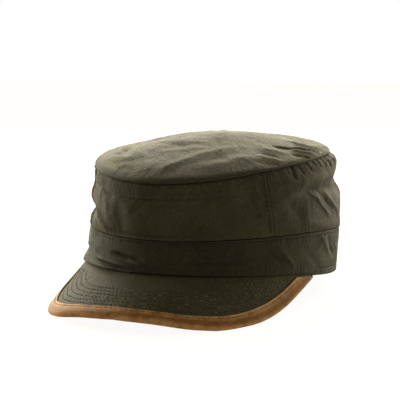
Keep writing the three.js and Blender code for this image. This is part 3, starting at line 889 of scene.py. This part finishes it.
def crown_panel(name, face, start, end, nodes):
    def placed(angle, up):
        return face(angle, (up - CROWN_TUCK) / CROWN_WALL)

    wall_panel(name, placed, start, end, CROWN_TUCK + CROWN_WALL, CLOTH, (0.75, 0.7), crown_cotton, nodes)


back_start = SEAM - LAP_UNDER * DEGREE
crown_panel("crown_front_cloth", front_face, -SEAM, SEAM, ("crown_front",))
crown_panel("crown_back_cloth", back_face, back_start, 2 * math.pi - back_start, ("crown_back",))


def top_outer(share, angle):
    """Upper face of the top panel."""
    across = share * np.sin(angle)
    ahead = share * np.cos(angle)
    x = (TOP["width"] / 2 + TOP_LIP * share**8) * across
    y = (TOP["length"] / 2 + TOP_LIP * share**8) * ahead
    height = top_height(across, ahead) + SEAM_GAP + CLOTH
    relief = sum(crease(x, y, *one) for one in TOP_CREASES)
    for draw in TOP_WRINKLES:
        relief += crumple(x, y, TOP_AREA, *draw)
    rim = (1 - share) * TOP_RADIUS
    along = arc_length(angle)
    back = smooth(SIDE_SEAM, SIDE_SEAM + 15, from_front(angle))
    relief += pucker(along, rim, 0.24, 6) + 0.6 * gather_furrows(along, rim * 1.2, count=40, seed=33) * back
    height += relief * smooth(1, 0.96, share)
    height -= 0.9 * np.exp(-(rim / 1.7)**2)
    front = smooth(95, 35, from_front(angle))
    height += FRONT_SWELL * front * (np.exp(-(rim / 36)**2) - np.exp(-(rim / 9)**2))
    return np.stack([x, TOP["back"] - y, height], -1)


def top_panel():
    half = CLOTH / 2
    edge = TOP_RADIUS - edge_places(half)[::-1]
    places = np.concatenate([np.linspace(0, edge[0], 74), edge[1:]])
    angles = np.linspace(0, 2 * math.pi, 481)[:-1]
    angle, share = np.meshgrid(angles, places / TOP_RADIUS)
    outer = top_outer(share, angle)
    normal = grid_normals(outer, True)
    normal[0] = (0, 0, 1)
    normal = normal * np.sign(normal[..., 2:3])
    thickness = half * rounded(np.minimum(TOP_RADIUS - places, half) / half)[:, None] * np.ones_like(angle)
    uv = np.concatenate([outer[..., :2], outer[:, :1, :2]], 1)
    sheet_piece("crown_top_cloth", outer - normal * half, normal, thickness, uv, True, top_cotton,
                ("crown_top",))


top_panel()


# Band

def band_piece():
    half = BAND_CLOTH / 2
    angles = np.linspace(-math.pi, math.pi, 841)[:-1]
    rows = edge_steps(BAND_WALL, half, 0.9)
    angle, rise = np.meshgrid(angles, rows / BAND_WALL)
    outer = band_outer(angle, rise)
    normal = grid_normals(outer, True)
    thickness = edge_half(rows, BAND_WALL, half)[:, None] * np.ones_like(angle)
    uv = flat_grid(arc_length(np.append(angles, math.pi)), rows)
    sheet_piece("band_cloth", outer - normal * half, normal, thickness, uv, True, band_cotton,
                ("band",))


def hem_face(angle, up):
    edge = -0.4 * smooth(HEM_START + 6, HEM_START + 2, from_front(angle))
    out = pucker(arc_length(angle), HEM_HEIGHT + SEAM_CLOSED - up, 0.15, 4) + edge
    return ring_point(BASE, angle, base_height(angle) + up) + outward(BASE, angle) * out[..., None]


band_piece()
hem_end = (HEM_START - HEM_TUCK) * DEGREE
wall_panel("rear_hem_cloth", hem_face, hem_end, 2 * math.pi - hem_end, HEM_HEIGHT + SEAM_CLOSED,
           BAND_CLOTH, (1.0, 0.6), band_cotton, ("rear_hem",))


# Peak

def peak_share(angle):
    return np.minimum(1, np.abs(angle) / PEAK_END)


def peak_line(angle):
    droop = curve(PEAK_SECTIONS, "share", "droop", peak_share(angle)) * DEGREE
    fan = PEAK_FAN * angle
    return np.stack([np.cos(droop) * np.sin(fan), -np.cos(droop) * np.cos(fan), -np.sin(droop)], -1)


def peak_start(angle):
    point = ring_point(BASE, angle, base_height(angle) - SEAM_GAP)
    return point - outward(BASE, angle) * BAND_CLOTH / 2


def peak_normal(angle, reach):
    step = 0.5 * DEGREE
    reach = reach[..., None]
    ahead = peak_start(angle + step) + peak_line(angle + step) * reach
    behind = peak_start(angle - step) + peak_line(angle - step) * reach
    return unit(-np.cross(ahead - behind, peak_line(angle)))


def peak_point(angle, reach, above):
    normal = peak_normal(angle, reach)
    point = peak_start(angle) + peak_line(angle) * reach[..., None]
    point[..., 2] -= peak_normal(angle, np.zeros_like(reach))[..., 2] * PEAK_WALL / 2
    return point + normal * above


def tail_share(angle):
    return np.clip((PEAK_LIMIT - np.abs(angle)) / PEAK_TAIL, 0, 1)


def peak_edge(angle):
    share = peak_share(angle)
    tail = tail_share(angle)
    out = PEAK_REACH * curve(PEAK_SECTIONS, "share", "reach", share) - TAIL_PULL * smooth(0.84, 1, share)
    return out * tail - TAIL_RISE * (1 - tail)


def peak_angles(step):
    """Angles of the peak's columns, even along its edge."""
    table = np.linspace(-PEAK_LIMIT, PEAK_LIMIT, 1441)
    travel = travel_along(peak_point(table, peak_edge(table), 0))
    count = int(round(travel[-1] / step))
    return np.interp(np.linspace(0, travel[-1], count + 1), travel, table)


def edge_distance(points):
    """Distance of places on the peak from its outer edge."""
    table = np.linspace(-PEAK_LIMIT, PEAK_LIMIT, 721)
    edge = peak_point(table, peak_edge(table), 0)
    flat = points.reshape(-1, 3)
    nearest = np.full(len(flat), np.inf)
    for first in range(0, len(edge), 40):
        gap = flat[:, None] - edge[first:first + 40]
        nearest = np.minimum(nearest, dot(gap, gap).min(1))
    return np.sqrt(nearest).reshape(points.shape[:-1])


def peak_relief(angle, reach, distance):
    along = angle * PEAK_TURN
    relief = 0
    for k, row in enumerate(PEAK_ROWS):
        relief += groove(distance - row) * 0.3
        relief += pucker(along + 11 * k, distance - row, 0.10, 2.2)
    return relief + pucker(along, reach, 0.15, 4) + crumple(along, reach, PEAK_AREA, *PEAK_WRINKLES)


def end_rounding(angle, half):
    return rounded(np.clip((PEAK_LIMIT - np.abs(angle)) * PEAK_TURN / half, 0, 1))


def peak_piece():
    half = PEAK_WALL / 2
    angles = peak_angles(0.95)
    places = edge_steps(1.0, half / PEAK_REACH, 0.0125)
    angle, share = np.meshgrid(angles, places)
    reach = share * (peak_edge(angle) + PEAK_TUCK) - PEAK_TUCK
    middle = peak_point(angle, reach, 0)
    normal = peak_normal(angle, reach)
    distance = edge_distance(middle)
    relief = peak_relief(angle, reach, distance) * smooth(0, 2, reach)
    thickness = edge_half(places, 1.0, half / PEAK_REACH)[:, None] * PEAK_REACH * end_rounding(angle, half)
    middle = middle + normal * (relief * smooth(0, half, thickness))[..., None]
    uv = np.stack([angle * PEAK_TURN, reach], -1)
    sheet_piece("peak_cloth", middle, normal, thickness, uv, False, peak_cotton, ("peak",))


def inset_place(angle, inset):
    """Angle and reach of the places on the peak that lie a distance in from its edge."""
    step = 0.5 * DEGREE
    edge = peak_edge(angle)
    ahead = peak_point(angle + step, peak_edge(angle + step), 0)
    behind = peak_point(angle - step, peak_edge(angle - step), 0)
    inward = unit(np.cross(peak_normal(angle, edge), ahead - behind))
    target = peak_point(angle, edge, 0) + inward * inset[..., None]
    reach = edge
    for _ in range(6):
        here = peak_point(angle, reach, 0)
        round_way = peak_point(angle + step, reach, 0) - here
        out_way = peak_point(angle, reach + 1, 0) - here
        miss = target - here
        rr, ro, oo = dot(round_way, round_way), dot(round_way, out_way), dot(out_way, out_way)
        mr, mo = dot(miss, round_way), dot(miss, out_way)
        det = rr * oo - ro * ro
        angle = angle + step * (mr * oo - mo * ro) / det
        reach = reach + (mo * rr - mr * ro) / det
    return angle, reach


def leather_section():
    """Section of the leather, from its inner edge on top, round the peak's edge, to the one below."""
    radius = PEAK_WALL / 2 + LEATHER_GAP + LEATHER / 2
    flat = np.linspace(LEATHER_WIDTH, 0, 12)
    turns = np.linspace(90, -90, 13) * DEGREE
    inset = np.concatenate([flat[:-1], -radius * np.cos(turns), flat[::-1][1:]])
    above = np.concatenate([np.full(11, radius), radius * np.sin(turns), np.full(11, -radius)])
    travel = travel_along(np.stack([inset, above], -1))
    places = edge_steps(travel[-1], LEATHER / 2, 0.5)
    return places, np.interp(places, travel, inset), np.interp(places, travel, above), travel[-1]


def binding_piece():
    half = LEATHER / 2
    angles = peak_angles(1.0)
    places, inset, above, length = leather_section()
    angle, height = np.meshgrid(angles, above)
    at, reach = inset_place(angle, np.meshgrid(angles, inset)[1])
    tail = tail_share(angle)
    hidden = np.where(height > 0, 0, 2 * TAIL_RISE * (1 - tail))
    reach = np.maximum(reach, LEATHER_STOP * tail - hidden)
    middle = peak_point(at, reach, (height * (0.4 + 0.6 * tail))[..., None])
    normal = grid_normals(middle, False)
    centre = peak_point(angle, peak_edge(angle), 0)
    normal = normal * np.sign(dot(middle - centre, normal).mean())
    thickness = edge_half(places, length, half)[:, None] * end_rounding(angle, half)
    along = np.arange(1.0, len(angles) + 1)
    relief = 0.10 * np.sin(along / 9.0) * np.exp(-(places[:, None] / 3.0)**2)
    relief -= 0.3 * np.exp(-((places[:, None] - LEATHER_ROW) / 0.7)**2)
    middle = middle + normal * relief[..., None]
    uv = flat_grid(along, places)
    sheet_piece("peak_binding_leather", middle, normal, thickness, uv, False, edge_leather,
                ("peak_binding",))


peak_piece()
binding_piece()


# Stitches

def wall_row(angle, rise, face, lift=STITCH_LIFT):
    """A row of stitches on a wall, up it at one angle or round it at one height."""
    angle, rise = np.broadcast_arrays(angle, rise)
    here = face(angle, rise)
    round_way = face(angle + 0.002, rise) - here
    up_way = face(angle, rise + 0.002) - here
    normal = unit(np.cross(round_way, up_way))
    return here + normal * lift, normal


def crown_rows():
    seam_rise = 1 - SEAM_ROW / CROWN_WALL
    front = np.linspace(-SEAM + 0.01, SEAM - 0.01, 300)
    back = np.linspace(SEAM + 0.01, 2 * math.pi - SEAM - 0.01, 700)
    rows = [wall_row(front, seam_rise, front_face), wall_row(back, seam_rise, back_face)]
    rises = np.linspace(0.04, 0.95, 120)
    table = np.linspace(0, SEAM, 400)
    for away in (SEAM_ROW, LAP_WIDTH + 1):
        turn = np.interp(SEAM_AT - away, arc_length(table), table)
        rows += [wall_row(-turn, rises, front_face), wall_row(turn, rises, front_face)]
    return rows


def pocket_rows():
    turns = np.linspace(POCKET_START, POCKET_END, 200) * DEGREE
    rises = np.linspace(POCKET_RISE, 0.93, 40)
    return [wall_row(turns, POCKET_RISE, front_face, 0.08),
            wall_row(POCKET_END * DEGREE, rises, front_face, 0.08)]


def band_row():
    return wall_row(np.linspace(-math.pi, math.pi, 900), 1 - SEAM_ROW / BAND_WALL, band_outer)


def peak_rows():
    """Rows of stitches that follow the peak's edge, each from the band round to the band."""
    angles = np.linspace(-PEAK_END, PEAK_END, 361)
    steps = 80
    angle, share = np.meshgrid(angles, np.linspace(0, 1, steps + 1))
    reach = share * peak_edge(angle)
    distance = edge_distance(peak_point(angle, reach, 0))
    rows = []
    for row in PEAK_ROWS:
        kept = []
        for c in range(len(angles)):
            column = distance[reach[:, c] > ROW_START, c][::-1]
            if len(column) and column.max() > row and column[0] < row:
                k = int(np.argmax(column > row))
                low, high = column[k - 1], column[k]
                place = steps - (k - 1 + (row - low) / (high - low))
                kept.append((angles[c], np.interp(place, np.arange(steps + 1), reach[:, c])))
        at, out = np.array(kept).T
        place = peak_point(at, out, 0)
        relief = peak_relief(at, out, edge_distance(place))
        normal = peak_normal(at, out)
        rows.append((place + normal * (PEAK_WALL / 2 + relief + STITCH_LIFT)[:, None], normal))
    return rows


def leather_rows():
    angles = peak_angles(1.0)
    at, reach = inset_place(angles, np.full_like(angles, LEATHER_WIDTH - LEATHER_ROW))
    clear = reach > ROW_START
    at, reach = at[clear], reach[clear]
    radius = PEAK_WALL / 2 + LEATHER_GAP + LEATHER
    return [(peak_point(at, reach, radius - 0.15), peak_normal(at, reach))]


stitches("crown_stitches", crown_rows(), olive_thread)
stitches("front_stitches", pocket_rows(), dark_thread, thick=THREAD * 0.8)
stitches("band_stitches", [band_row()], dark_thread)
stitches("peak_stitches", peak_rows(), peak_thread, pitch=3.2, length=1.6, thick=0.26)
stitches("leather_stitches", leather_rows(), brown_thread, pitch=3.4, length=2.6)


# Floor, surround and lights

def floor_piece():
    mesh = bpy.data.meshes.new("floor")
    reach = 4.0
    mesh.from_pydata([(-reach, -reach, 0), (reach, -reach, 0), (reach, reach, 0), (-reach, reach, 0)], [],
                     [(0, 1, 2, 3)])
    floor = bpy.data.objects.new("floor", mesh)
    bpy.context.scene.collection.objects.link(floor)
    n = Nodes(bpy.data.materials.new("floor_white"))
    mesh.materials.append(n.shade(Base_Color=(0.10, 0.098, 0.092), Roughness=1.0, Specular_IOR_Level=0.0,
                                  Emission_Color=(1, 0.99, 0.975), Emission_Strength=0.95))


def surround():
    """White studio: bright behind and beside the cap, dark on the side that the photograph shows."""
    world = bpy.data.worlds.new("studio")
    bpy.context.scene.world = world
    n = Nodes(world)
    facing = n.add("ShaderNodeVectorMath", {"operation": "DOT_PRODUCT"})
    n.put(facing.inputs[0], n.place("Generated"))
    n.put(facing.inputs[1], (math.sin(VIEW_TURN), -math.cos(VIEW_TURN), 0))
    bright = n.ramp(facing.outputs["Value"], -0.65, 0.4, 1.1, 0.06, "SMOOTHSTEP")
    back = n.fill(n.tree.nodes["Background"], {"Color": (1, 0.97, 0.9), "Strength": bright})
    seen = n.add("ShaderNodeBackground", Color=(1, 1, 1), Strength=1.0)
    mix = n.add("ShaderNodeMixShader")
    n.put(mix.inputs[0], n.add("ShaderNodeLightPath").outputs["Is Camera Ray"])
    n.put(mix.inputs[1], back.outputs[0])
    n.put(mix.inputs[2], seen.outputs[0])
    n.put(n.tree.nodes["World Output"].inputs["Surface"], mix.outputs[0])


def facing_piece(name, data, place, way):
    """A light or a camera at a place, turned to face a way."""
    piece = bpy.data.objects.new(name, data)
    piece.location = place
    piece.rotation_euler = way.to_track_quat("-Z", "Y").to_euler()
    bpy.context.scene.collection.objects.link(piece)
    return piece


def area_light(name, place, aim, size, power, colour):
    data = bpy.data.lights.new(name, "AREA")
    data.color = colour
    data.shape = "RECTANGLE"
    data.size, data.size_y = size
    data.energy = power
    facing_piece(name, data, place, Vector(aim) - Vector(place))


def view_place(turn, rise, distance):
    """A place round the cap, turned from the photograph's view."""
    at = VIEW_TURN + turn * DEGREE
    level = distance * math.cos(rise * DEGREE)
    return (level * math.sin(at), -level * math.cos(at), distance * math.sin(rise * DEGREE))


def camera():
    back = Vector(view_place(0, VIEW_RISE, 1))
    right = Vector((math.cos(VIEW_TURN), math.sin(VIEW_TURN), 0))
    aim = right * VIEW_ASIDE + Vector((SHIFT[0] * MM, SHIFT[1] * MM, VIEW_HEIGHT))
    data = bpy.data.cameras.new("camera")
    data.lens = VIEW_LENS
    data.sensor_width = 36.0
    data.clip_end = 50.0
    bpy.context.scene.camera = facing_piece("camera", data, aim + back * VIEW_DISTANCE, -back)


floor_piece()
surround()
camera()
area_light("backdrop", view_place(180, 25, 1.5), (0, 0, 0.1), (1.5, 0.6), 69.0, (1, 0.965, 0.86))
area_light("left_side", view_place(-130, 12, 1.0), (0, 0, 0.06), (0.8, 0.4), 23.0, (1, 0.95, 0.81))
area_light("right_side", view_place(136, 12, 1.0), (0, 0, 0.07), (0.6, 0.4), 12.5, (1, 0.935, 0.74))
area_light("overhead", view_place(10, 68, 1.2), (0, -0.06, 0.03), (0.5, 0.5), 1.7, (1, 0.965, 0.87))
bpy.context.scene.view_settings.view_transform = "Standard"
